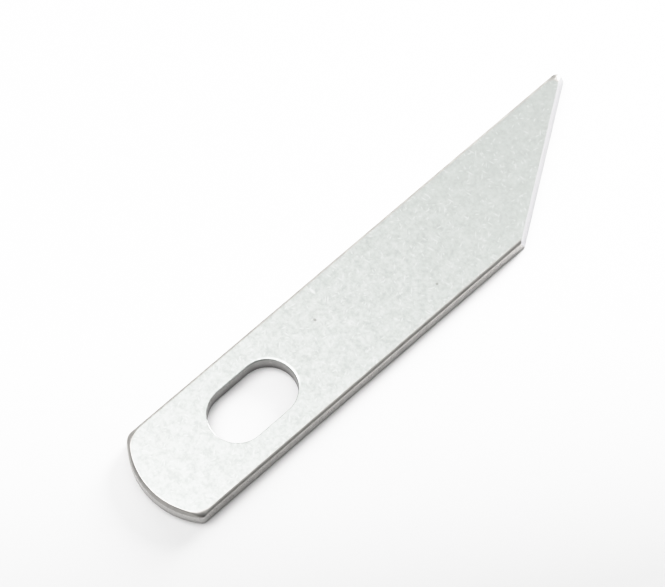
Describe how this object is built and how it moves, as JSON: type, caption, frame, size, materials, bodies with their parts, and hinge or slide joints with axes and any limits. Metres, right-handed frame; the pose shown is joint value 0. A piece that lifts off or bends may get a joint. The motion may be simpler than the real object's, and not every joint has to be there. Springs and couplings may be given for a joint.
{
  "type": "overlock lower knife blade",
  "caption": "Flat steel overlock sewing machine knife with a rounded, slotted clamp end and a slanted ground cutting end.",
  "frame": {"origin": "centre of the clamp slot on the bearing (lower) face", "axes": "+Y along the blade towards the cutting point, +Z out of the face that the clamp screw presses, +X towards the short side edge"},
  "size_m": [0.009, 0.0477, 0.0015],
  "materials": {
    "blade_steel": "hardened tool steel, tumbled to a fine satin, with bright blanked edges and a ground cutting end"
  },
  "bodies": {
    "root": {"blade": "blade_steel"}
  },
  "joints": []
}
